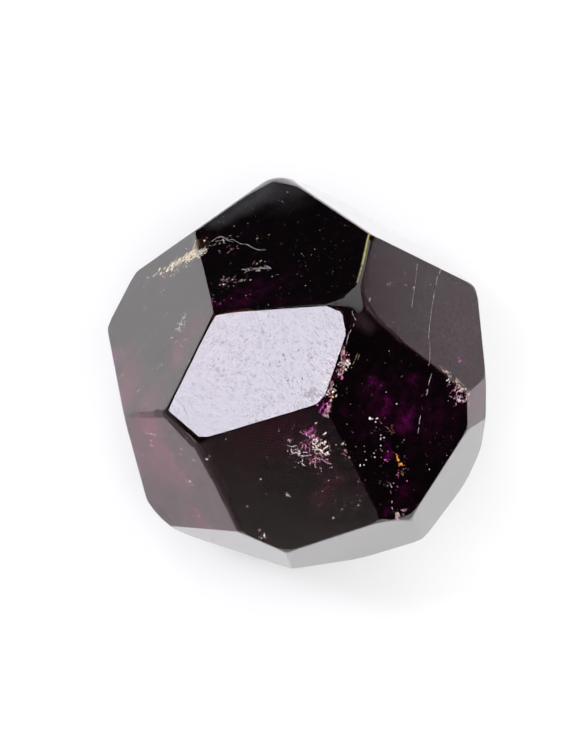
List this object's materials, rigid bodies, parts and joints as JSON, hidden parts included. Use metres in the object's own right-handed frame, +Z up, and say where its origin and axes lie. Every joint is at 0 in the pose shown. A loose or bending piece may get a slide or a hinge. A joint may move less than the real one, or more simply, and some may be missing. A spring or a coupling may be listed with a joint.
{
  "type": "garnet crystal",
  "caption": "Single deep red-purple garnet crystal, a hand-polished trapezohedron of kite-like flats with rounded edges, worn corners and small chips, resting on one flat.",
  "frame": {"origin": "centre of the crystal's footprint, on the plane it rests on", "axes": "+Z up, away from the flat it rests on; -Y to the side with the large front shoulder flat; +X to the side with the small shoulder flat"},
  "size_m": [0.0364, 0.0408, 0.0332],
  "materials": {
    "garnet": "polished, see-through at thin edges, with fine scratches and chips"
  },
  "bodies": {
    "root": {"garnet_crystal": "garnet"}
  },
  "joints": []
}
